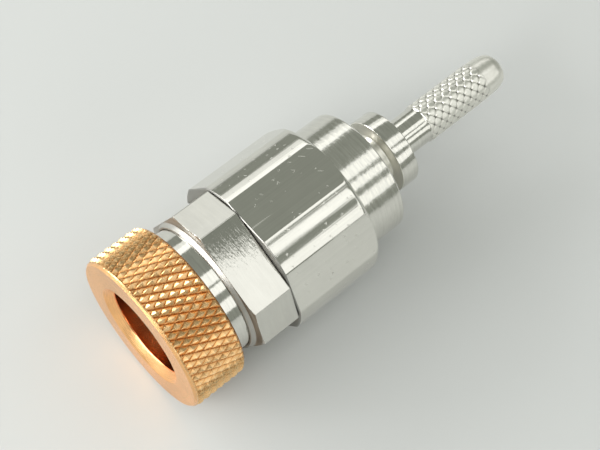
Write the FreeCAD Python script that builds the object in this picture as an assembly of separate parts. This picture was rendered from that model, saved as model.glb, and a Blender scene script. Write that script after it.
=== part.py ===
"""Quick-release hose coupling socket: 22 separate pieces, one STEP file each.

The coupling lies on its side on the ground plane z = 0, with its axis along X. The knurled grip
ring faces -X, the hose tail points to +X, and one flat of the hex body faces up. The origin is
the centre of the bounding box on the ground. Profiles are drawn as (x, r) pairs, x measured along
the axis from the ring's front face and r from the axis. Lengths are millimetres.
"""
import FreeCAD
import Part
import math
import os

from FreeCAD import Vector

# Driving dimensions
BAR_R = 11.0                # 22 mm round bar: ring, hex corners
TOTAL_LENGTH = 61.0
BODY_AF = 21.0              # hex body, across flats
NUT_AF = 19.0               # wide flats of the nut
NUT_BEVEL_AF = 21.3         # narrow flats on the nut's corners
NUT_TURN = 21.7             # the nut's top flat is turned this far about the axis, degrees
SLEEVE_TRAVEL = 2.2
RUN_GAP = 0.06              # radial clearance of sliding fits
JOIN_GAP = 0.02             # radial clearance of screwed joints

# Stations along the axis
RING_LENGTH = 7.8
NUT_FRONT = 10.05            # front of the nut's low bevelled rim
NUT_FLATS_START = 10.6
NUT_FLATS_END = 16.2
BODY_FRONT = 16.3
HEX_END = 29.9
COLLAR_END = 36.0
FLANGE_FRONT = 39.0
FLANGE_END = 41.7
GRIP_START = 46.9           # knurled end of the hose tail
GRIP_END = 57.5

# Radii of the outside
NECK_R = 8.8
COLLAR_R = 8.76
FLANGE_R = 5.4
STEM_R = 2.6
TAIL_GRIP_R = 2.76
TIP_R = 2.1

# Plug bore in the ring
MOUTH_R = 7.1
PLUG_R = 6.1
PLUG_BORE_START = 1.0
PLUG_BORE_END = 4.6

# Socket tube and its balls
TUBE_FRONT = 7.2
TUBE_R = 6.35
SOCKET_R = 4.7
NOSE_BORE_START = 10.8         # the plug's nose runs in the tube from here on
NOSE_R = 4.5
SEAL_GROOVE = (13.0, 14.3)
SEAL_GROOVE_R = 5.62
SOCKET_END = 15.3
FLOW_R = 3.2
TUBE_FLANGE = (24.7, 26.2)
TUBE_FLANGE_R = 8.4
TUBE_END = 28.0
TUBE_TAIL_R = 5.95
BALL_COUNT = 6
BALL_X = 9.4
BALL_R = 1.25
BALL_CENTRE_R = 5.45
BALL_TRAVEL = 0.45
BALL_GAP = 0.04

# Sleeve
SLEEVE_NOSE_R = 8.0
SLEEVE_STEP = 10.6
SLEEVE_TAIL_R = 7.45
SLEEVE_END = 16.0
CLIP_GROOVE = (14.7, 15.4)
CLIP_GROOVE_R = 7.1

# Nut
LIP = (SLEEVE_STEP + SLEEVE_TRAVEL + 0.1, 14.6)
LIP_R = SLEEVE_TAIL_R + RUN_GAP
NUT_CAVITY_R = 8.15
NUT_THREAD_R = 9.0
NUT_END = 21.3

# Valve
SEAT_GAP = 0.03
VALVE_DISC = (28.7, 30.2)
VALVE_DISC_R = 4.1
VALVE_ROD_R = 1.2
VALVE_STEM_R = 1.0
CHAMBER_R = 5.3
GUIDE = (34.3, 35.0)
GUIDE_R = 4.25
GASKET = (31.0, 31.6)
TAIL_THREAD_R = 6.0
TAIL_POCKET_R = 4.3
HOSE_BORE_R = 1.6

FRONT = Vector(-TOTAL_LENGTH / 2, 0, BAR_R)
AXIS = Vector(1, 0, 0)


def turned(profile):
    """Solid of revolution about the axis from a closed list of (x, r) corners."""
    corners = [Vector(x, 0, r) for x, r in profile]
    wire = Part.makePolygon(corners + corners[:1])
    return Part.Face(wire).revolve(Vector(0, 0, 0), AXIS, 360)


def prism(across_flats, flats, start, end, turn):
    """Prism with the given number of flats; the first flat's normal is turned from +Z to -Y."""
    corner_r = across_flats / 2 / math.cos(math.pi / flats)
    corners = []
    for index in range(flats):
        angle = math.radians(turn) + (index + 0.5) * 2 * math.pi / flats
        corners.append(Vector(start, -corner_r * math.sin(angle), corner_r * math.cos(angle)))
    face = Part.Face(Part.makePolygon(corners + corners[:1]))
    return face.extrude(Vector(end - start, 0, 0))


def torus(x, major, minor):
    return Part.makeTorus(major, minor, Vector(x, 0, 0), AXIS)


def coil(start, end, mean_r, wire_r, turns):
    """Helical spring whose outermost wire surfaces lie at start and end."""
    height = end - start - 2 * wire_r
    helix = Part.makeHelix(height / turns, height, mean_r)
    section = Part.Wire(Part.makeCircle(wire_r, Vector(mean_r, 0, 0), Vector(0, 1, 0)))
    spring = Part.Wire(helix.Edges).makePipeShell([section], True, True)
    spring.rotate(Vector(0, 0, 0), Vector(0, 1, 0), 90)
    spring.translate(Vector(start + wire_r, 0, 0))
    return spring


def sleeve_cone_r(x):
    """Radius of the sleeve's locking cone: it lets each ball out evenly as the sleeve slides."""
    slope = BALL_TRAVEL / SLEEVE_TRAVEL
    at_ball = BALL_CENTRE_R + (BALL_R + BALL_GAP) * math.sqrt(1 + slope * slope)
    return at_ball + slope * (BALL_X - x)


def grip_ring():
    edge = 0.5
    return turned([
        (0, MOUTH_R), (0, BAR_R - edge), (edge, BAR_R), (RING_LENGTH - edge, BAR_R),
        (RING_LENGTH, BAR_R - edge), (RING_LENGTH, SLEEVE_NOSE_R + JOIN_GAP),
        (PLUG_BORE_END, SLEEVE_NOSE_R + JOIN_GAP), (PLUG_BORE_END, PLUG_R),
        (PLUG_BORE_START, PLUG_R)])


def release_sleeve():
    cone_start = BALL_X - SLEEVE_TRAVEL - 0.6
    cone_end = BALL_X + 0.9
    rear_r = TUBE_R + RUN_GAP
    return turned([
        (PLUG_BORE_END, sleeve_cone_r(cone_start)), (PLUG_BORE_END, SLEEVE_NOSE_R),
        (RING_LENGTH, SLEEVE_NOSE_R), (RING_LENGTH, NECK_R), (SLEEVE_STEP, NECK_R),
        (SLEEVE_STEP, SLEEVE_TAIL_R), (CLIP_GROOVE[0], SLEEVE_TAIL_R),
        (CLIP_GROOVE[0], CLIP_GROOVE_R), (CLIP_GROOVE[1], CLIP_GROOVE_R),
        (CLIP_GROOVE[1], SLEEVE_TAIL_R), (SLEEVE_END, SLEEVE_TAIL_R), (SLEEVE_END, rear_r),
        (cone_end, rear_r), (cone_end, sleeve_cone_r(cone_end)),
        (cone_start, sleeve_cone_r(cone_start))])


def sleeve_snap_ring():
    """Split ring that keeps the sleeve behind the nut's lip."""
    inner = CLIP_GROOVE_R + JOIN_GAP
    ring = turned([(CLIP_GROOVE[0] + 0.04, inner), (CLIP_GROOVE[0] + 0.04, NUT_CAVITY_R - 0.1),
                   (CLIP_GROOVE[1] - 0.04, NUT_CAVITY_R - 0.1), (CLIP_GROOVE[1] - 0.04, inner)])
    split = Part.makeBox(2, 1.2, 3, Vector(CLIP_GROOVE[0] - 0.5, -0.6, CLIP_GROOVE_R - 0.5))
    return ring.cut(split).Solids[0]


def spring_washer():
    inner = TUBE_R + RUN_GAP
    outer = NUT_CAVITY_R - 0.1
    return turned([(SLEEVE_END + SEAT_GAP, inner), (SLEEVE_END + SEAT_GAP, outer),
                   (SLEEVE_END + 0.5, outer), (SLEEVE_END + 0.5, inner)])


def sleeve_spring():
    return coil(SLEEVE_END + 0.52, TUBE_FLANGE[0] - 0.02, 7.25, 0.45, 5)


def retaining_nut():
    rim_r = 9.1
    bevel_r = 10.6
    outside = turned([
        (NUT_FRONT, 0), (NUT_FRONT, rim_r), (NUT_FLATS_START, NUT_AF / 2 - 0.05),
        (NUT_FLATS_START, bevel_r), (NUT_FLATS_START + 0.2, BAR_R + 0.2),
        (NUT_FLATS_END, BAR_R + 0.2), (NUT_FLATS_END, 0)])
    wide = prism(NUT_AF, 4, NUT_FRONT, NUT_FLATS_END, NUT_TURN)
    narrow = prism(NUT_BEVEL_AF, 4, NUT_FRONT, NUT_FLATS_END, NUT_TURN + 45)
    head = outside.common(wide).common(narrow)
    relief_r = NUT_THREAD_R - 0.25
    spigot = turned([
        (NUT_FLATS_END - 0.5, 0), (NUT_FLATS_END - 0.5, relief_r), (BODY_FRONT + 0.6, relief_r),
        (BODY_FRONT + 0.9, NUT_THREAD_R), (NUT_END, NUT_THREAD_R), (NUT_END, 0)])
    hollow = turned([
        (NUT_FRONT - 1, 0), (NUT_FRONT - 1, NECK_R + RUN_GAP), (LIP[0], NECK_R + RUN_GAP),
        (LIP[0], LIP_R), (LIP[1], LIP_R), (LIP[1], NUT_CAVITY_R), (NUT_END + 1, NUT_CAVITY_R),
        (NUT_END + 1, 0)])
    return head.fuse(spigot).cut(hollow).removeSplitter().Solids[0]


def socket_tube():
    """Fixed tube that takes the plug's nose; six pockets hold the locking balls."""
    edge = 0.3
    tube = turned([
        (TUBE_FRONT, SOCKET_R + edge), (TUBE_FRONT, TUBE_R - edge), (TUBE_FRONT + edge, TUBE_R),
        (TUBE_FLANGE[0], TUBE_R), (TUBE_FLANGE[0], TUBE_FLANGE_R),
        (TUBE_FLANGE[1], TUBE_FLANGE_R), (TUBE_FLANGE[1], TUBE_TAIL_R), (TUBE_END, TUBE_TAIL_R),
        (TUBE_END, FLOW_R), (SOCKET_END, FLOW_R), (SOCKET_END, NOSE_R),
        (NOSE_BORE_START, NOSE_R), (NOSE_BORE_START, SOCKET_R), (TUBE_FRONT + edge, SOCKET_R)])
    groove = turned([
        (SEAL_GROOVE[0], NOSE_R - 1), (SEAL_GROOVE[0], SEAL_GROOVE_R),
        (SEAL_GROOVE[1], SEAL_GROOVE_R), (SEAL_GROOVE[1], NOSE_R - 1)])
    tube = tube.cut(groove)
    pocket_r = BALL_R + BALL_GAP
    for index in range(BALL_COUNT):
        centre, outward = ball_place(index)
        seat = Part.makeSphere(pocket_r, centre)
        shaft = Part.makeCylinder(pocket_r, TUBE_R, centre, outward)
        tube = tube.cut(seat.fuse(shaft))
    return tube.Solids[0]


def ball_place(index):
    """Centre of a locking ball and the radial direction it moves in."""
    angle = 2 * math.pi * index / BALL_COUNT
    outward = Vector(0, -math.sin(angle), math.cos(angle))
    return Vector(BALL_X, 0, 0) + outward * BALL_CENTRE_R, outward


def locking_ball(index):
    return Part.makeSphere(BALL_R, ball_place(index)[0])


def plug_seal():
    return torus(sum(SEAL_GROOVE) / 2, 5.07, 0.54)


def hex_body():
    """Hex body with its collar: chamfered front, rounded rear shoulder, stepped bore."""
    front_edge = 0.15
    shoulder_r = 1.0
    collar_edge = 0.2
    arc_x = HEX_END - shoulder_r
    arc_r = BAR_R - shoulder_r
    middle = shoulder_r * math.sqrt(0.5)
    edges = [
        Part.LineSegment(Vector(BODY_FRONT, 0, 0), Vector(BODY_FRONT, 0, BAR_R - front_edge)),
        Part.LineSegment(Vector(BODY_FRONT, 0, BAR_R - front_edge), Vector(BODY_FRONT + front_edge, 0, BAR_R)),
        Part.LineSegment(Vector(BODY_FRONT + front_edge, 0, BAR_R), Vector(arc_x, 0, BAR_R)),
        Part.Arc(Vector(arc_x, 0, BAR_R), Vector(arc_x + middle, 0, arc_r + middle),
                 Vector(HEX_END, 0, arc_r)),
        Part.LineSegment(Vector(HEX_END, 0, arc_r), Vector(HEX_END, 0, 0)),
        Part.LineSegment(Vector(HEX_END, 0, 0), Vector(BODY_FRONT, 0, 0))]
    wire = Part.Wire([edge.toShape() for edge in edges])
    bar = Part.Face(wire).revolve(Vector(0, 0, 0), AXIS, 360)
    hexagon = bar.common(prism(BODY_AF, 6, BODY_FRONT - 1, HEX_END + 1, 0))
    collar = turned([
        (HEX_END - 1, 0), (HEX_END - 1, COLLAR_R), (COLLAR_END - collar_edge, COLLAR_R),
        (COLLAR_END, COLLAR_R - collar_edge), (COLLAR_END, 0)])
    thread_r = NUT_THREAD_R + JOIN_GAP
    flange_r = TUBE_FLANGE_R + JOIN_GAP
    seal_r = 7.12
    tube_tail_r = TUBE_TAIL_R + JOIN_GAP
    tail_thread_r = TAIL_THREAD_R + JOIN_GAP
    bore = turned([
        (BODY_FRONT - 1, 0), (BODY_FRONT - 1, thread_r), (NUT_END + 0.2, thread_r),
        (NUT_END + 0.2, flange_r), (TUBE_FLANGE[1], flange_r), (TUBE_FLANGE[1], seal_r),
        (TUBE_FLANGE[1] + 1.2, seal_r), (TUBE_FLANGE[1] + 1.2, tube_tail_r),
        (TUBE_END, tube_tail_r), (TUBE_END, CHAMBER_R), (GASKET[0], CHAMBER_R),
        (GASKET[0], tail_thread_r), (COLLAR_END + 1, tail_thread_r), (COLLAR_END + 1, 0)])
    return hexagon.fuse(collar).cut(bore).removeSplitter().Solids[0]


def body_seal():
    return torus(TUBE_FLANGE[1] + 0.6, 6.54, 0.56)


def valve_poppet():
    """Poppet: push rod in front, disc behind the seat, guide stem at the back."""
    rod_start = 16.6
    return turned([
        (rod_start, 0), (rod_start, 2.2), (rod_start + 0.9, 2.2), (rod_start + 1.6, VALVE_ROD_R),
        (VALVE_DISC[0], VALVE_ROD_R), (VALVE_DISC[0], VALVE_DISC_R),
        (VALVE_DISC[1], VALVE_DISC_R), (VALVE_DISC[1], VALVE_STEM_R), (34.9, VALVE_STEM_R),
        (34.9, 0)])


def poppet_seal():
    inner = VALVE_ROD_R + JOIN_GAP
    return turned([(TUBE_END + SEAT_GAP, inner), (TUBE_END + SEAT_GAP, VALVE_DISC_R - 0.1),
                   (VALVE_DISC[0], VALVE_DISC_R - 0.1), (VALVE_DISC[0], inner)])


def valve_spring():
    return coil(VALVE_DISC[1] + 0.02, GUIDE[0] - 0.02, 3.5, 0.25, 3.5)


def valve_guide():
    """Spider washer that guides the poppet's stem and lets the flow past."""
    guide = turned([(GUIDE[0], VALVE_STEM_R + RUN_GAP), (GUIDE[0], GUIDE_R),
                    (GUIDE[1], GUIDE_R), (GUIDE[1], VALVE_STEM_R + RUN_GAP)])
    for index in range(4):
        angle = index * math.pi / 2
        centre = Vector(GUIDE[0] - 1, 2.1 * math.sin(angle), 2.1 * math.cos(angle))
        guide = guide.cut(Part.makeCylinder(0.65, 3, centre, AXIS))
    return guide.Solids[0]


def tail_gasket():
    return turned([(GASKET[0], CHAMBER_R + 0.1), (GASKET[0], TAIL_THREAD_R),
                   (GASKET[1], TAIL_THREAD_R), (GASKET[1], CHAMBER_R + 0.1)])


def hose_tail():
    """Screwed-in tail: thread, neck, flange, plain stem and the part that grips the hose."""
    neck_r = 3.4
    flange_edge = 0.15
    return turned([
        (GASKET[1], TAIL_POCKET_R), (GASKET[1], TAIL_THREAD_R), (COLLAR_END, TAIL_THREAD_R),
        (COLLAR_END, neck_r), (FLANGE_FRONT, neck_r), (FLANGE_FRONT, FLANGE_R - flange_edge),
        (FLANGE_FRONT + flange_edge, FLANGE_R),
        (FLANGE_END - flange_edge, FLANGE_R), (FLANGE_END, FLANGE_R - flange_edge),
        (FLANGE_END, STEM_R), (GRIP_START - 0.2, STEM_R), (GRIP_START, TAIL_GRIP_R),
        (GRIP_END, TAIL_GRIP_R), (TOTAL_LENGTH - 0.4, TIP_R + 0.35), (TOTAL_LENGTH, TIP_R),
        (TOTAL_LENGTH, HOSE_BORE_R), (GUIDE[1] + 0.05, HOSE_BORE_R),
        (GUIDE[1] + 0.05, TAIL_POCKET_R)])


def build():
    pieces = {
        "grip_ring": grip_ring(),
        "release_sleeve": release_sleeve(),
        "sleeve_snap_ring": sleeve_snap_ring(),
        "spring_washer": spring_washer(),
        "sleeve_spring": sleeve_spring(),
        "retaining_nut": retaining_nut(),
        "socket_tube": socket_tube(),
        "plug_seal": plug_seal(),
        "hex_body": hex_body(),
        "body_seal": body_seal(),
        "valve_poppet": valve_poppet(),
        "poppet_seal": poppet_seal(),
        "valve_spring": valve_spring(),
        "valve_guide": valve_guide(),
        "tail_gasket": tail_gasket(),
        "hose_tail": hose_tail(),
    }
    for index in range(BALL_COUNT):
        pieces["locking_ball_%d" % (index + 1)] = locking_ball(index)
    return pieces


os.makedirs("parts", exist_ok=True)
for name, shape in build().items():
    shape.translate(FRONT)
    shape.exportStep("parts/%s.step" % name)
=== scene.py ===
"""Looks of the quick-release hose coupling socket: knurled ring, nickel-plated nut, body and tail.

Lengths are millimetres in the tables below and metres in the meshes. The axis runs along X at
height AXIS_Z, the ring's front face is at x = FRONT_X, and one flat of the hex body faces up.
Profiles are lists of (x, r): x from the ring's front face and r from the axis.
"""

import math

import bmesh
import bpy
from mathutils import Matrix, Vector, noise


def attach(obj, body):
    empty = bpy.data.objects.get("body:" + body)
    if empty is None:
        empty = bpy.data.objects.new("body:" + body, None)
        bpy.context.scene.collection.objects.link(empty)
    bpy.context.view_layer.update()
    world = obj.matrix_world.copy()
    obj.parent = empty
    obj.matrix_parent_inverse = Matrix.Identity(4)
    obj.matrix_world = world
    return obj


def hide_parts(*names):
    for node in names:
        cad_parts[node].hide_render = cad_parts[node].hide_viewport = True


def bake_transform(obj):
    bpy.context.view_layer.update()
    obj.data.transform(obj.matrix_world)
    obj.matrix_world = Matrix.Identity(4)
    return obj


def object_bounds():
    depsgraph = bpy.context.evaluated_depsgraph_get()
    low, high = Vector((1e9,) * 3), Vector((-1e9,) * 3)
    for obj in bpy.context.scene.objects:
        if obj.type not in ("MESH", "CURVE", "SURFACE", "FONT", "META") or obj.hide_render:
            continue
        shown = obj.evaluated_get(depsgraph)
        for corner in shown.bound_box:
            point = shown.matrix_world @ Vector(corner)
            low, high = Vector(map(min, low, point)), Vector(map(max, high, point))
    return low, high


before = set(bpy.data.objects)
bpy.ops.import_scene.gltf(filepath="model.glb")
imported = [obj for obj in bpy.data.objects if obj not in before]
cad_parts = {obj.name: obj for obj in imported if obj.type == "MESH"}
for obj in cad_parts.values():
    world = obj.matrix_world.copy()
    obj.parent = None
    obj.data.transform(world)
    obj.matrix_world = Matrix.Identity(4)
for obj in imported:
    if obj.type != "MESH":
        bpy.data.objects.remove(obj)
cad_box = [list(corner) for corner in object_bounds()]

MM = 0.001
FRONT_X = cad_box[0][0]
AXIS_Z = 0.011
BAR_R = 11.0

# Grip ring
RING_LENGTH = 7.8
RING_EDGE = 0.5
RING_STARTS = 61
RING_PITCH = 2.13           # along the axis, from one pyramid to the next in its row
RING_DEPTH = 0.42
RING_FINE = 16              # grid points to a pitch

# Hose tail
GRIP_START = 46.9
GRIP_END = 57.5
TAIL_R = 2.76
TAIL_STARTS = 10
TAIL_PITCH = 1.325
TAIL_TURN = -8              # degrees
TAIL_DEPTH = 0.24
TAIL_FINE = 16
TAIL_NECK_R = 3.4
FLANGE_START = 39.0
FLANGE_END = 41.7
FLANGE_R = 5.4
STEM_R = 2.6
HOSE_BORE_R = 1.6
TAIL_THREAD_R = 6.0
TAIL_POCKET_R = 4.3

# Nut and body
NUT_FRONT = 10.05
NUT_FLATS_START = 10.6
NUT_FLATS_END = 16.2
NUT_WIDE = 9.5              # axis to a wide flat
NUT_NARROW = 10.65          # axis to a narrow flat
NUT_TURN = 21.7
NUT_EDGE = 30.3             # half the angle that a wide flat spans
BODY_FRONT = 16.3
BODY_CHAMFER = 0.15
HEX_END = 29.9
HEX_FLAT = 10.5
HEX_EDGE = 17.34            # half the angle that a hex flat spans
SHOULDER_R = 1.0
COLLAR_R = 8.76
COLLAR_END = 36.0
GASKET_END = 31.6
TAIL_POCKET_END = GASKET_END + 3.45
NUT_REAR_EDGE = 0.12        # along the axis
NUT_LIP = (12.9, 14.6)      # holds the snap ring back
NUT_LIP_R = 7.51
NUT_FRONT_BORE_R = 8.86
NUT_CAVITY_R = 8.15
NUT_THREAD_R = 9.0
NUT_END = 21.3
BODY_THREAD_R = 9.02

# Bore of the ring and the springs
PLUG_BORE_R = 6.1
SLEEVE_SEAT_R = 8.02
SLEEVE_SEAT_X = 4.6
COUNTERSINK = 1.0
SLEEVE_SPRING = {"start": 16.52, "end": 24.68, "mean_r": 7.25, "wire_r": 0.45, "turns": 5}
VALVE_SPRING = {"start": 30.22, "end": 34.28, "mean_r": 3.5, "wire_r": 0.25, "turns": 2.5}


# ---------------------------------------------------------------- meshes

def place(x, r, angle):
    """Point at station x and radius r in mm; the angle runs from +Z towards -Y."""
    return (FRONT_X + x * MM, -r * MM * math.sin(angle), AXIS_Z + r * MM * math.cos(angle))


def loft(name, rings, angles, materials, split=None):
    """Closed skin through rings of (x, r) pairs, one pair for each angle.

    The last ring joins the first. split tells how to cut the square at ring i and angle j in two.
    """
    across = len(angles)
    verts = [place(x, r, angle) for ring in rings for (x, r), angle in zip(ring, angles)]
    faces = []
    for i in range(len(rings)):
        here = i * across
        following = (i + 1) % len(rings) * across
        for j in range(across):
            n = (j + 1) % across
            a, b, c, d = here + j, here + n, following + n, following + j
            way = split(i, j) if split else None
            if way == "down":
                faces += [(a, b, d), (b, c, d)]
            elif way == "up":
                faces += [(a, b, c), (a, c, d)]
            else:
                faces.append((a, b, c, d))
    mesh = bpy.data.meshes.new(name)
    mesh.from_pydata(verts, [], faces)
    mesh.update()
    for material in materials:
        mesh.materials.append(material)
    piece = bpy.data.objects.new(name, mesh)
    bpy.context.scene.collection.objects.link(piece)
    return piece


def shade(piece, sharp_degrees, weighted=False):
    """Smooth shading, but for edges sharper than the angle; weighted keeps the flats flat."""
    piece.data.shade_smooth()
    piece.data.set_sharp_from_angle(angle=math.radians(sharp_degrees))
    if weighted:
        modifier = piece.modifiers.new("normals", "WEIGHTED_NORMAL")
        modifier.keep_sharp = True


def even_angles(count):
    return [2 * math.pi * j / count for j in range(count)]


def angles_with_edges(edges):
    """Even steps round the axis, with close steps at each edge, in radians."""
    marks = set(range(0, 36000, 200))
    for edge in edges:
        for offset in (-120, -60, -30, -15, 0, 15, 30, 60, 120):
            marks.add(round(edge * 100 + offset) % 36000)
    return [math.radians(mark / 100) for mark in sorted(marks)]


def around(profile, angles):
    """Plain round rings for a profile."""
    return [[point] * len(angles) for point in profile]


def rounded(profile, radius, steps=4):
    """The open profile with each inner corner turned into a small arc."""
    points = [profile[0]]
    for before, corner, after in zip(profile, profile[1:], profile[2:]):
        here = Vector(corner)
        back = Vector(before) - here
        ahead = Vector(after) - here
        reach = min(radius, back.length * 0.45, ahead.length * 0.45)
        start = here + back.normalized() * reach
        end = here + ahead.normalized() * reach
        for step in range(steps + 1):
            t = step / steps
            points.append(tuple(start * (1 - t) ** 2 + here * (2 * t * (1 - t)) + end * t ** 2))
    return points + [profile[-1]]


def divided(profile, longest):
    """The open profile with its long stretches cut into shorter ones."""
    points = [profile[0]]
    for before, after in zip(profile, profile[1:]):
        start, end = Vector(before), Vector(after)
        cuts = max(1, math.ceil((end - start).length / longest))
        points += [tuple(start.lerp(end, cut / cuts)) for cut in range(1, cuts + 1)]
    return points


def soft_min(a, b, width):
    """The smaller of two radii, with the corner between them rounded."""
    overlap = max(width - abs(a - b), 0) / width
    return min(a, b) - overlap * overlap * width / 4


def flat_at(angle, distance, turn, flats):
    """Radius of a ring of flats at an angle."""
    step = 2 * math.pi / flats
    from_middle = (angle - math.radians(turn) + step / 2) % step - step / 2
    return distance / math.cos(from_middle)


def triangle_wave(t):
    """0 in a groove, at whole numbers, and 1 half way between two grooves."""
    return 1 - abs(2 * (t - math.floor(t)) - 1)


def knurl(x_start, x_end, pitch, fine, starts, radius_at, turn=0.0):
    """Rings of a diamond knurl, its angles and the way that its squares are split.

    Both families of grooves run through grid points and along the splits, so they stay sharp.
    radius_at takes the station, the angle and the phase across each family of grooves.
    """
    angles = [angle + math.radians(turn) for angle in even_angles(starts * fine)]
    rows = round((x_end - x_start) / pitch * fine)
    rings = []
    for i in range(rows + 1):
        x = x_start + (x_end - x_start) * i / rows
        rings.append([(x, radius_at(x, angle, (i + j) / fine, (i - j) / fine))
                      for j, angle in enumerate(angles)])

    def split(i, j):
        if i >= rows:
            return None
        if (i + j + 1) % fine == 0:
            return "down"
        return "up" if (i - j) % fine == 0 else None

    return rings, angles, split


def add_relief(piece, crest, depth, start, end):
    """Stores how far each point lies above the grooves, from which the materials paint shade into
    the grooves: 0 groove, 1 crest.

    Points before the start or past the end of the knurl count as crests.
    """
    relief = piece.data.attributes.new("relief", "FLOAT", "POINT")
    values = []
    for vertex in piece.data.vertices:
        x = (vertex.co.x - FRONT_X) / MM
        r = math.hypot(vertex.co.y, vertex.co.z - AXIS_Z) / MM
        knurled = start - 0.01 < x < end + 0.01
        values.append(min(1.0, max(0.0, 1 - (crest - r) / depth)) if knurled else 1.0)
    relief.data.foreach_set("value", values)


# ---------------------------------------------------------------- materials

class Finish:
    """A node material on the Principled shader, in few words."""

    def __init__(self, name):
        self.material = bpy.data.materials.new(name)
        self.material.use_nodes = True
        self.tree = self.material.node_tree
        self.shader = self.tree.nodes["Principled BSDF"]

    def add(self, kind, inputs, **settings):
        node = self.tree.nodes.new(kind)
        for key, value in settings.items():
            setattr(node, key, value)
        for key, value in inputs.items():
            self.put(node.inputs[key], value)
        return node

    def put(self, socket, value):
        if isinstance(value, bpy.types.NodeSocket):
            self.tree.links.new(value, socket)
        else:
            socket.default_value = value

    def set(self, **values):
        for key, value in values.items():
            self.put(self.shader.inputs[key.replace("_", " ")], value)

    def coords(self, scale=(1, 1, 1)):
        """Place on the piece, its axis at y = z = 0, stretched by scale."""
        where = self.add("ShaderNodeTexCoord", {}).outputs["Object"]
        mapping = self.add("ShaderNodeMapping", {
            "Vector": where, "Location": (0, 0, -AXIS_Z * scale[2]), "Scale": scale})
        return mapping.outputs["Vector"]

    def axis_distance(self):
        parts = self.add("ShaderNodeSeparateXYZ", {"Vector": self.coords()}).outputs
        flat = self.add("ShaderNodeCombineXYZ", {"Y": parts["Y"], "Z": parts["Z"]})
        length = self.add("ShaderNodeVectorMath", {0: flat.outputs["Vector"]}, operation="LENGTH")
        return length.outputs["Value"]

    def noise(self, vector, scale=1.0, detail=3.0, rough=0.5):
        return self.add("ShaderNodeTexNoise", {
            "Vector": vector, "Scale": scale, "Detail": detail, "Roughness": rough}).outputs["Fac"]

    def rings(self, scale, detail=2.0):
        """Noise that depends only on the distance from the axis, as on a faced surface."""
        value = self.math("MULTIPLY", self.axis_distance(), scale)
        return self.add("ShaderNodeTexNoise", {
            "W": value, "Scale": 1.0, "Detail": detail}, noise_dimensions="1D").outputs["Fac"]

    def stations(self, scale, detail=2.0):
        """Noise that depends only on the station along the axis, as on a turned surface."""
        x = self.add("ShaderNodeSeparateXYZ", {"Vector": self.coords((scale, 1, 1))}).outputs["X"]
        return self.add("ShaderNodeTexNoise", {
            "W": x, "Scale": 1.0, "Detail": detail}, noise_dimensions="1D").outputs["Fac"]

    def ramp(self, value, stops):
        node = self.add("ShaderNodeValToRGB", {"Fac": value})
        elements = node.color_ramp.elements
        while len(elements) < len(stops):
            elements.new(0.5)
        for element, (position, color) in zip(elements, stops):
            element.position = position
            element.color = (*color, 1)
        return node.outputs["Color"]

    def fit(self, value, low, high, to_low, to_high):
        return self.add("ShaderNodeMapRange", {
            "Value": value, "From Min": low, "From Max": high, "To Min": to_low,
            "To Max": to_high}).outputs["Result"]

    def math(self, operation, a, b):
        return self.add("ShaderNodeMath", {0: a, 1: b}, operation=operation).outputs["Value"]

    def mix(self, factor, a, b, blend_type="MIX"):
        node = self.add("ShaderNodeMix", {}, data_type="RGBA", blend_type=blend_type)
        self.put(node.inputs[0], factor)
        self.put(node.inputs[6], a)
        self.put(node.inputs[7], b)
        return node.outputs[2]

    def multiply(self, color, shade_of):
        return self.mix(1.0, color, shade_of, "MULTIPLY")

    def bump(self, height, distance, under=None):
        inputs = {"Height": height, "Strength": 1.0, "Distance": distance}
        if under:
            inputs["Normal"] = under
        return self.add("ShaderNodeBump", inputs).outputs["Normal"]


def tinted(color, amount):
    return tuple(min(1.0, channel * amount) for channel in color)


def cloudy(finish, color, spread, scale=250):
    """Slow, slight changes of tint over a plated surface."""
    cloud = finish.noise(finish.coords(), scale, 4.0, 0.6)
    return finish.ramp(cloud, [(0.3, tinted(color, 1 - spread)), (0.7, tinted(color, 1 + spread))])


NICKEL = (0.77, 0.755, 0.70)


def knurled_copper():
    """Copper-coloured plating: light crests, grooves darkened with painted shade, fine pitting."""
    f = Finish("knurled_copper")
    relief = f.add("ShaderNodeAttribute", {}, attribute_name="relief").outputs["Fac"]
    grain = f.noise(f.coords(), 5200, 3.0, 0.6)
    height = f.math("ADD", relief, f.fit(grain, 0.3, 0.7, -0.08, 0.08))
    # Painted shade: the ramp darkens the copper from the crests down into the grooves, by the
    # relief.
    color = f.ramp(height, [(0.0, (0.40, 0.16, 0.055)), (0.14, (0.76, 0.38, 0.14)),
                            (0.36, (0.97, 0.58, 0.26)), (1.0, (1.0, 0.70, 0.38))])
    shades = cloudy(f, (0.93, 0.93, 0.93), 0.10, 500)
    f.set(Base_Color=f.multiply(color, shades), Metallic=1.0)
    f.set(Roughness=f.fit(grain, 0.3, 0.7, 0.20, 0.34), Normal=f.bump(grain, 2.5e-6))
    return f.material


def turned_copper(name, color, roughness):
    """Copper-coloured plating over a faced or bored surface."""
    f = Finish(name)
    lines = f.math("ADD", f.rings(26000, 3.0), f.stations(26000, 3.0))
    f.set(Base_Color=cloudy(f, color, 0.08, 400), Metallic=1.0)
    f.set(Roughness=f.fit(lines, 0.7, 1.3, roughness - 0.05, roughness + 0.07))
    f.set(Normal=f.bump(lines, 2.2e-6))
    tangent = f.add("ShaderNodeTangent", {}, direction_type="RADIAL", axis="X").outputs["Tangent"]
    f.set(Anisotropic=0.6, Tangent=tangent)
    return f.material


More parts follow.
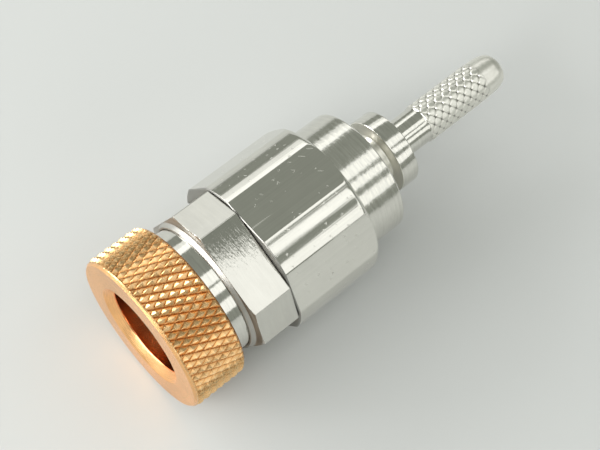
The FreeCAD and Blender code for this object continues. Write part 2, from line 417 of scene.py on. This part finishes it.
def polished_nickel():
    """Bright nickel with drawn lines along the bar, fine scratches and a few nicks."""
    f = Finish("polished_nickel")
    drawn = f.noise(f.coords((30, 3400, 3400)), 1.0, 3.0, 0.6)
    scratch = f.noise(f.coords((22, 1700, 1700)), 1.0, 1.0)
    lines = f.fit(scratch, 0.735, 0.75, 0.0, 0.6)
    turned = f.add("ShaderNodeMapping", {"Vector": f.coords(), "Rotation": (0, 0, 0.7)})
    short = f.add("ShaderNodeMapping", {
        "Vector": turned.outputs["Vector"], "Scale": (420, 3200, 3200)}).outputs["Vector"]
    cuts = f.fit(f.noise(short, 1.0, 1.0), 0.75, 0.765, 0.0, 0.6)
    warp = f.add("ShaderNodeTexNoise", {"Vector": f.coords(), "Scale": 5200.0}).outputs["Color"]
    shifted = f.add("ShaderNodeVectorMath", {0: f.coords((1150, 1500, 1500)), 1: warp},
                    operation="ADD")
    cells = f.add("ShaderNodeTexVoronoi", {"Vector": shifted.outputs["Vector"], "Scale": 1.0})
    chosen = f.fit(cells.outputs["Color"], 0.67, 0.68, 0.0, 1.0)
    spot = f.fit(cells.outputs["Distance"], 0.10, 0.20, 1.0, 0.0)
    nicks = f.math("MULTIPLY", chosen, spot)
    wear = f.math("MAXIMUM", nicks, f.math("MAXIMUM", lines, cuts))
    shade_of = f.fit(drawn, 0.3, 0.7, 0.94, 1.0)
    f.set(Base_Color=f.multiply(cloudy(f, NICKEL, 0.03), shade_of), Metallic=1.0)
    shine = f.fit(drawn, 0.3, 0.7, 0.06, 0.12)
    f.set(Roughness=f.math("ADD", shine, f.math("MULTIPLY", wear, 0.4)))
    dented = f.bump(f.math("MULTIPLY", wear, -1.0), 8e-6)
    f.set(Normal=f.bump(drawn, 8e-6, dented))
    return f.material


def turned_nickel(name, depth, roughness, shade_tone=1.0):
    """Nickel over a turned surface: broken fine lines round the axis. A tone below 1 darkens the
    plating as painted shade.
    """
    f = Finish(name)
    lines = f.stations(3000, 3.0)
    broken = f.noise(f.coords((2600, 620, 620)), 1.0, 3.0, 0.6)
    shade_of = f.fit(f.math("ADD", lines, broken), 0.7, 1.3, 0.90, 1.04)
    plating = cloudy(f, tinted(NICKEL, shade_tone), 0.03)
    f.set(Base_Color=f.multiply(plating, shade_of), Metallic=1.0)
    f.set(Roughness=f.fit(broken, 0.3, 0.7, roughness - 0.03, roughness + 0.05))
    f.set(Normal=f.bump(broken, depth))
    return f.material


def milled_nickel():
    """Nickel over milled flats: short streaks across the axis, of uneven shine."""
    f = Finish("milled_nickel")
    streaks = f.noise(f.coords((1900, 230, 230)), 1.0, 4.0, 0.7)
    shade_of = f.fit(streaks, 0.3, 0.7, 0.96, 1.03)
    plating = cloudy(f, tinted(NICKEL, 0.87), 0.03)
    f.set(Base_Color=f.multiply(plating, shade_of), Metallic=1.0)
    f.set(Roughness=f.fit(streaks, 0.3, 0.7, 0.02, 0.04))
    f.set(Normal=f.bump(streaks, 1.6e-5))
    return f.material


def steel(name, color, roughness):
    f = Finish(name)
    grain = f.noise(f.coords(), 4200, 4.0, 0.6)
    f.set(Base_Color=cloudy(f, color, 0.05, 600), Metallic=1.0)
    f.set(Roughness=f.fit(grain, 0.3, 0.7, roughness - 0.05, roughness + 0.05))
    f.set(Normal=f.bump(grain, 8e-7))
    return f.material


def turned_brass():
    f = Finish("turned_brass")
    lines = f.math("ADD", f.rings(12000), f.stations(12000))
    f.set(Base_Color=cloudy(f, (0.80, 0.60, 0.28), 0.06), Metallic=1.0)
    f.set(Roughness=f.fit(lines, 0.7, 1.3, 0.16, 0.28), Normal=f.bump(lines, 2e-6))
    return f.material


def seal_rubber():
    f = Finish("seal_rubber")
    grain = f.noise(f.coords(), 3000, 4.0, 0.6)
    f.set(Base_Color=f.ramp(grain, [(0.3, (0.012, 0.012, 0.013)), (0.7, (0.03, 0.03, 0.032))]))
    f.set(Roughness=f.fit(grain, 0.3, 0.7, 0.38, 0.55), Normal=f.bump(grain, 4e-6))
    return f.material


def fibre_board():
    f = Finish("fibre_gasket")
    fibres = f.noise(f.coords((1200, 5200, 2600)), 1.0, 5.0, 0.7)
    f.set(Base_Color=f.ramp(fibres, [(0.3, (0.30, 0.07, 0.05)), (0.7, (0.50, 0.16, 0.11))]))
    f.set(Roughness=f.fit(fibres, 0.3, 0.7, 0.65, 0.85), Normal=f.bump(fibres, 1.2e-5))
    return f.material


def padded_nickel():
    """Nickel over the raised pads of the hose tail, with painted shade darkening the grooves
    between them.
    """
    f = Finish("padded_nickel")
    relief = f.add("ShaderNodeAttribute", {}, attribute_name="relief").outputs["Fac"]
    grain = f.noise(f.coords(), 3600, 4.0, 0.6)
    # Painted shade: the nickel darkens from the crests of the pads down into the grooves.
    groove_shade = f.ramp(relief, [(0.0, tinted(NICKEL, 0.12)), (0.5, tinted(NICKEL, 0.45)),
                           (0.82, tinted(NICKEL, 1.15))])
    f.set(Base_Color=f.mix(0.15, groove_shade, cloudy(f, NICKEL, 0.04)), Metallic=1.0)
    f.set(Roughness=f.fit(grain, 0.3, 0.7, 0.30, 0.42), Normal=f.bump(grain, 3e-6))
    return f.material


# ---------------------------------------------------------------- pieces

def stands_for(piece, node, body):
    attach(piece, body)
    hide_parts(node)


def ring_radius(x, angle, u, v):
    """Pyramids between two families of V grooves, cut off by the ring's edge chamfers."""
    deep = triangle_wave(v)
    shallow = 1 - 0.88 * (1 - triangle_wave(u))
    uneven = 0.05 * noise.noise(Vector((x * 0.9, 9 * math.sin(angle), 9 * math.cos(angle))))
    height = min(1.0, 1.01 * min(deep, shallow) + uneven)
    height = max(height, min(1.0, (RING_EDGE - x) / 0.2))      # the front edge stays plain
    chamfer = BAR_R - RING_EDGE + min(x, RING_LENGTH - x)
    return min(BAR_R - RING_DEPTH * (1 - height), chamfer)


def grip_ring(knurled, plain, bored):
    rings, angles, split = knurl(0.0, RING_LENGTH, RING_PITCH, RING_FINE, RING_STARTS, ring_radius)
    rim = BAR_R - RING_EDGE - 0.03
    rear = rounded([(RING_LENGTH, rim), (RING_LENGTH, SLEEVE_SEAT_R),
                    (SLEEVE_SEAT_X, SLEEVE_SEAT_R), (SLEEVE_SEAT_X, PLUG_BORE_R)], 0.06, 2)
    front = rounded([(SLEEVE_SEAT_X, PLUG_BORE_R), (COUNTERSINK, PLUG_BORE_R),
                     (0.0, PLUG_BORE_R + COUNTERSINK), (0.0, rim)], 0.10)
    inside = divided(rear, 0.8) + divided(front, 0.5)[1:]
    piece = loft("ring_knurl", rings + around(inside, angles), angles, [knurled, plain, bored],
                 split)
    add_relief(piece, BAR_R, RING_DEPTH, 0.0, RING_LENGTH)
    last_x = FRONT_X + RING_LENGTH * MM
    for face in piece.data.polygons:
        centre = face.center
        r = math.hypot(centre.y, centre.z - AXIS_Z) / MM
        on_end = centre.x - FRONT_X < 0.28 * MM or last_x - centre.x < 1e-6
        in_bore = r < 6.3 and centre.x - FRONT_X < 4.5 * MM
        # The bore (index 2) takes darker, redder copper: painted shade.
        face.material_index = 2 if in_bore else 1 if on_end or r < 9 else 0
    shade(piece, 18)
    stands_for(piece, "grip_ring", "release_ring")


def tail_radius(x, angle, u, v):
    """Rounded pads between crossed grooves that fade out at both ends of the grip."""
    crossed = (1 - triangle_wave(u)) ** 3 + (1 - triangle_wave(v)) ** 3
    pad = max(0.0, 1 - 0.32 * crossed ** 1.7)
    fade = max(0.0, min(1.0, (GRIP_END - x) / 0.5, (x - GRIP_START + 0.1) / 0.3))
    taper = 0.04 * max(0.0, (x - GRIP_END + 1.4) / 1.4) ** 2
    return TAIL_R - taper - TAIL_DEPTH * (1 - pad) * fade - 0.02 * (1 - fade)


def hose_tail(padded, plain):
    rings, angles, split = knurl(
        GRIP_START, GRIP_END, TAIL_PITCH, TAIL_FINE, TAIL_STARTS, tail_radius, TAIL_TURN)
    nose = [(GRIP_END + 0.05, 2.70), (58.8, 2.66), (59.8, 2.52), (60.4, 2.30), (60.8, 2.02)]
    rear = divided(rounded(
        nose + [(61.0, HOSE_BORE_R), (TAIL_POCKET_END, HOSE_BORE_R)], 0.25), 1.5)
    front = divided(rounded([
        (TAIL_POCKET_END, TAIL_POCKET_R), (GASKET_END, TAIL_POCKET_R), (GASKET_END, TAIL_THREAD_R),
        (COLLAR_END, TAIL_THREAD_R), (COLLAR_END, TAIL_NECK_R), (FLANGE_START, TAIL_NECK_R),
        (FLANGE_START, FLANGE_R), (FLANGE_END, FLANGE_R), (FLANGE_END, STEM_R),
        (GRIP_START - 0.3, STEM_R), (GRIP_START - 0.05, 2.68)], 0.22), 1.5)
    piece = loft("tail_knurl", rings + around(rear + front, angles), angles, [padded, plain], split)
    add_relief(piece, TAIL_R, TAIL_DEPTH, GRIP_START, GRIP_END)
    for face in piece.data.polygons:
        x = (face.center.x - FRONT_X) / MM
        inside_bore = math.hypot(face.center.y, face.center.z - AXIS_Z) < 1.8 * MM
        satin = x > GRIP_START or COLLAR_END < x < FLANGE_START + 0.05
        face.material_index = 0 if satin and not inside_bore else 1
    shade(piece, 40)
    stands_for(piece, "hose_tail", "housing")


def retaining_nut(flats, turned):
    middles = [NUT_TURN + 90 * k for k in range(4)]
    angles = angles_with_edges([m + side for m in middles for side in (-NUT_EDGE, NUT_EDGE)])
    outside = rounded([
        (NUT_FRONT, NUT_FRONT_BORE_R), (NUT_FRONT, 9.1), (NUT_FLATS_START, NUT_WIDE - 0.05),
        (NUT_FLATS_START, 10.6), (NUT_FLATS_START + 0.2, 11.2),
        (NUT_FLATS_END - NUT_REAR_EDGE, 11.2),
        (NUT_FLATS_END, 11.08), (NUT_FLATS_END, 8.75)], 0.05)
    outside = divided(outside, 0.12)
    rings = []
    for x, r in outside:
        rear_edge = 0.7 * max(0.0, x - (NUT_FLATS_END - NUT_REAR_EDGE))
        ring = []
        for angle in angles:
            wide = flat_at(angle, NUT_WIDE - rear_edge, NUT_TURN, 4)
            narrow = flat_at(angle, NUT_NARROW - rear_edge, NUT_TURN + 45, 4)
            ring.append((x, soft_min(soft_min(wide, narrow, 0.05), r, 0.03)))
        rings.append(ring)
    inside = [(16.9, 8.75), (17.2, NUT_THREAD_R), (NUT_END, NUT_THREAD_R), (NUT_END, NUT_CAVITY_R),
              (NUT_LIP[1], NUT_CAVITY_R), (NUT_LIP[1], NUT_LIP_R), (NUT_LIP[0], NUT_LIP_R),
              (NUT_LIP[0], NUT_FRONT_BORE_R)]
    piece = loft("nut_shell", rings + around(inside, angles), angles, [flats, turned])
    for face in piece.data.polygons:
        # Faces across the axis take the second material, which is nickel darkened as painted shade.
        face.material_index = 1 if abs(face.normal.x) > 0.3 else 0
    shade(piece, 35, weighted=True)
    stands_for(piece, "retaining_nut", "housing")


def hex_body(bar, collar, face_turned):
    middles = [60 * k for k in range(6)]
    angles = angles_with_edges([m + side for m in middles for side in (-HEX_EDGE, HEX_EDGE)])
    arc_x, arc_r = HEX_END - SHOULDER_R, BAR_R - SHOULDER_R
    arc = [(arc_x + SHOULDER_R * math.sin(t), arc_r + SHOULDER_R * math.cos(t))
           for t in [math.pi / 2 * k / 20 for k in range(21)]]
    front = rounded([(BODY_FRONT, BODY_THREAD_R), (BODY_FRONT, BAR_R - BODY_CHAMFER),
                     (BODY_FRONT + BODY_CHAMFER, BAR_R), arc[0]], 0.05)
    outside = divided(front, 0.35) + arc[1:]
    outside += divided(rounded([arc[-1], (HEX_END, COLLAR_R), (COLLAR_END - 0.2, COLLAR_R),
                                (COLLAR_END, COLLAR_R - 0.2), (COLLAR_END, 6.02)], 0.10), 0.5)[1:]
    rings = []
    for x, r in outside:
        front_edge = 0.8 * max(0.0, BODY_FRONT + 0.12 - x)
        rings.append([(x, soft_min(r, flat_at(angle, HEX_FLAT - front_edge, 0, 6), 0.06))
                      for angle in angles])
    inside = [(31.0, 6.02), (31.0, 5.3), (28.0, 5.3), (28.0, 5.97), (27.4, 5.97), (27.4, 7.12),
              (26.2, 7.12), (26.2, 8.42), (21.5, 8.42), (21.5, BODY_THREAD_R)]
    piece = loft("body_shell", rings + around(inside, angles), angles,
                 [bar, collar, face_turned])
    front_end = BODY_FRONT + BODY_CHAMFER + 0.02
    for face in piece.data.polygons:
        x = (face.center.x - FRONT_X) / MM
        # The front face and chamfer (index 2), in the gap behind the nut, take nickel darkened as
        # painted shade.
        face.material_index = 1 if x > HEX_END - 0.02 else 2 if x < front_end else 0
    shade(piece, 35, weighted=True)
    stands_for(piece, "hex_body", "housing")


def coil_spring(node, moving, start, end, mean_r, wire_r, turns, material):
    """Round wire in a helix, which stays put as a whole; moving is not used."""
    steps, sides = round(48 * turns), 16
    verts, faces = [], []
    for i in range(steps + 1):
        x = start + wire_r + (end - start - 2 * wire_r) * i / steps
        for k in range(sides):
            around_wire = 2 * math.pi * k / sides
            verts.append(place(x + wire_r * math.cos(around_wire),
                               mean_r + wire_r * math.sin(around_wire),
                               2 * math.pi * turns * i / steps))
    for i in range(steps):
        for k in range(sides):
            n = (k + 1) % sides
            faces.append((i * sides + k, i * sides + n, (i + 1) * sides + n, (i + 1) * sides + k))
    faces += [tuple(range(sides))[::-1], tuple(range(steps * sides, (steps + 1) * sides))]
    mesh = bpy.data.meshes.new(node + "_wire")
    mesh.from_pydata(verts, [], faces)
    shape = bmesh.new()
    shape.from_mesh(mesh)
    bmesh.ops.recalc_face_normals(shape, faces=shape.faces)
    shape.to_mesh(mesh)
    shape.free()
    mesh.materials.append(material)
    piece = bpy.data.objects.new(node + "_wire", mesh)
    bpy.context.scene.collection.objects.link(piece)
    shade(piece, 40)
    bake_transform(piece)
    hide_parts(node)


def finish_cad_nodes(finishes):
    """The pieces whose CAD shape is right as it is get their node materials."""
    for name, finish in finishes.items():
        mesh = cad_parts[name].data
        for index in range(len(mesh.materials)):
            mesh.materials[index] = finish


bright = polished_nickel()
turned = turned_nickel("turned_nickel", 1.5e-5, 0.12)
wire = steel("spring_steel", (0.58, 0.58, 0.59), 0.26)
ball = steel("ball_steel", (0.72, 0.72, 0.73), 0.10)
brass = turned_brass()
rubber = seal_rubber()

# The bore gets darker, redder copper than the faces: painted shade and painted copper-on-copper
# reflection deep in the bore.
grip_ring(knurled_copper(), turned_copper("turned_copper", (0.90, 0.50, 0.22), 0.26),
          turned_copper("shaded_bore_copper", (0.84, 0.36, 0.16), 0.13))
hose_tail(padded_nickel(), turned)
# The nut's end faces get nickel darkened to 0.62: painted shade.
retaining_nut(milled_nickel(), turned_nickel("shaded_nut_end_nickel", 2e-5, 0.40, 0.62))
# The body's front face, in the gap behind the nut, gets nickel darkened to 0.42: painted shade.
hex_body(bright, turned_nickel("collar_nickel", 2.8e-5, 0.13),
         turned_nickel("shaded_face_nickel", 1.5e-5, 0.42, 0.42))
finish_cad_nodes({
    "release_sleeve": turned_nickel("neck_nickel", 1.2e-5, 0.08), "sleeve_snap_ring": wire,
    "spring_washer": wire, "sleeve_spring": wire, "valve_spring": wire, "socket_tube": turned,
    "plug_seal": rubber, "body_seal": rubber, "poppet_seal": rubber, "valve_poppet": brass,
    "valve_guide": brass, "tail_gasket": fibre_board()})
coil_spring("sleeve_spring", "washer_carrier", material=wire, **SLEEVE_SPRING)
coil_spring("valve_spring", "valve", material=wire, **VALVE_SPRING)
finish_cad_nodes({"locking_ball_%d" % number: ball for number in range(1, 7)})


# ---------------------------------------------------------------- stage

NEAR_SLANT = -10            # degrees, so that its reflection crosses the nut's flat aslant
STRIP_LENGTH = 1.2
STRIP_MIDDLE_X = 0.15
STRIP_DISTANCE = 0.5
BOX_SIZE = (0.7, 0.4)
BOX_DISTANCE = 0.8
FLOOR_HALF = 2.0
CAMERA_PLACE = (-0.0636, -0.0492, 0.1713)
CAMERA_RIGHT = (0.7512, -0.6552, 0.0756)
CAMERA_UP = (0.5725, 0.7045, 0.4188)
CAMERA_LENS = 83.7          # mm, on a sensor 36 mm wide
WORLD_COLOR = (0.94, 1.0, 0.88, 1)
WORLD_STRENGTH = 0.31
STRIPS = [                  # name, two edges in degrees from +Z towards -Y, radiance, slant
    ("far_strip", -61, -49, 1.10, 0.0),
    ("far_edge", -70, -61, 0.74, 0.0),
    ("top_strip", 1, 21.5, 0.98, 0.0),
    ("near_strip", 26.1, 40, 1.02, NEAR_SLANT),
    ("low_strip", 53, 73, 0.95, 0.0)]
BOXES = [                   # name, direction from the part, energy in watts
    ("front_box", (-0.80, 0.15, 0.50), 6.5),
    ("far_box", (-0.50, 0.78, 0.36), 5.0)]


def floor():
    half = FLOOR_HALF
    mesh = bpy.data.meshes.new("floor")
    corners = [(-half, -half, 0), (half, -half, 0), (half, half, 0), (-half, half, 0)]
    mesh.from_pydata(corners, [], [(0, 1, 2, 3)])
    ground = bpy.data.objects.new("floor", mesh)
    bpy.context.scene.collection.objects.link(ground)
    f = Finish("floor")
    cloud = f.noise(f.coords(), 9, 2.0)
    f.set(Base_Color=f.ramp(cloud, [(0.3, (0.50, 0.51, 0.50)), (0.7, (0.52, 0.53, 0.52))]))
    f.set(Roughness=0.7)
    mesh.materials.append(f.material)


def softbox(name, low, high, radiance, slant):
    """Strip light along X, its long edges at two angles from +Z towards -Y."""
    middle = math.radians((low + high) / 2)
    data = bpy.data.lights.new(name, "AREA")
    data.shape = "RECTANGLE"
    data.size = STRIP_LENGTH
    data.size_y = 2 * STRIP_DISTANCE * math.tan(math.radians(high - low) / 2)
    data.energy = radiance * math.pi * data.size * data.size_y
    light = bpy.data.objects.new(name, data)
    out = Vector((0, -math.sin(middle), math.cos(middle)))
    along = Matrix.Rotation(math.radians(slant), 3, out) @ Vector((1, 0, 0))
    turn = Matrix((along, out.cross(along), out)).transposed()
    place_at = Vector((STRIP_MIDDLE_X, 0, AXIS_Z)) + out * STRIP_DISTANCE
    light.matrix_world = Matrix.Translation(place_at) @ turn.to_4x4()
    bpy.context.scene.collection.objects.link(light)


def front_box(name, direction, energy):
    """Broad light before the ring's end of the part."""
    data = bpy.data.lights.new(name, "AREA")
    data.shape = "RECTANGLE"
    data.size, data.size_y = BOX_SIZE
    data.energy = energy
    light = bpy.data.objects.new(name, data)
    out = Vector(direction).normalized()
    turn = out.to_track_quat("Z", "Y").to_matrix()
    light.matrix_world = Matrix.Translation(out * BOX_DISTANCE) @ turn.to_4x4()
    bpy.context.scene.collection.objects.link(light)


def lights():
    for strip in STRIPS:
        softbox(*strip)
    for box in BOXES:
        front_box(*box)
    world = bpy.data.worlds.new("studio")
    world.use_nodes = True
    background = world.node_tree.nodes["Background"]
    background.inputs["Color"].default_value = WORLD_COLOR
    background.inputs["Strength"].default_value = WORLD_STRENGTH
    bpy.context.scene.world = world
    bpy.context.scene.view_settings.view_transform = "Standard"


def camera():
    data = bpy.data.cameras.new("camera")
    data.sensor_width = 36
    data.lens = CAMERA_LENS
    data.clip_start = 0.01
    eye = bpy.data.objects.new("camera", data)
    right, up = Vector(CAMERA_RIGHT), Vector(CAMERA_UP)
    turn = Matrix((right, up, right.cross(up))).transposed()
    eye.matrix_world = Matrix.Translation(CAMERA_PLACE) @ turn.to_4x4()
    bpy.context.scene.collection.objects.link(eye)
    bpy.context.scene.camera = eye


floor()
lights()
camera()
bpy.context.view_layer.update()
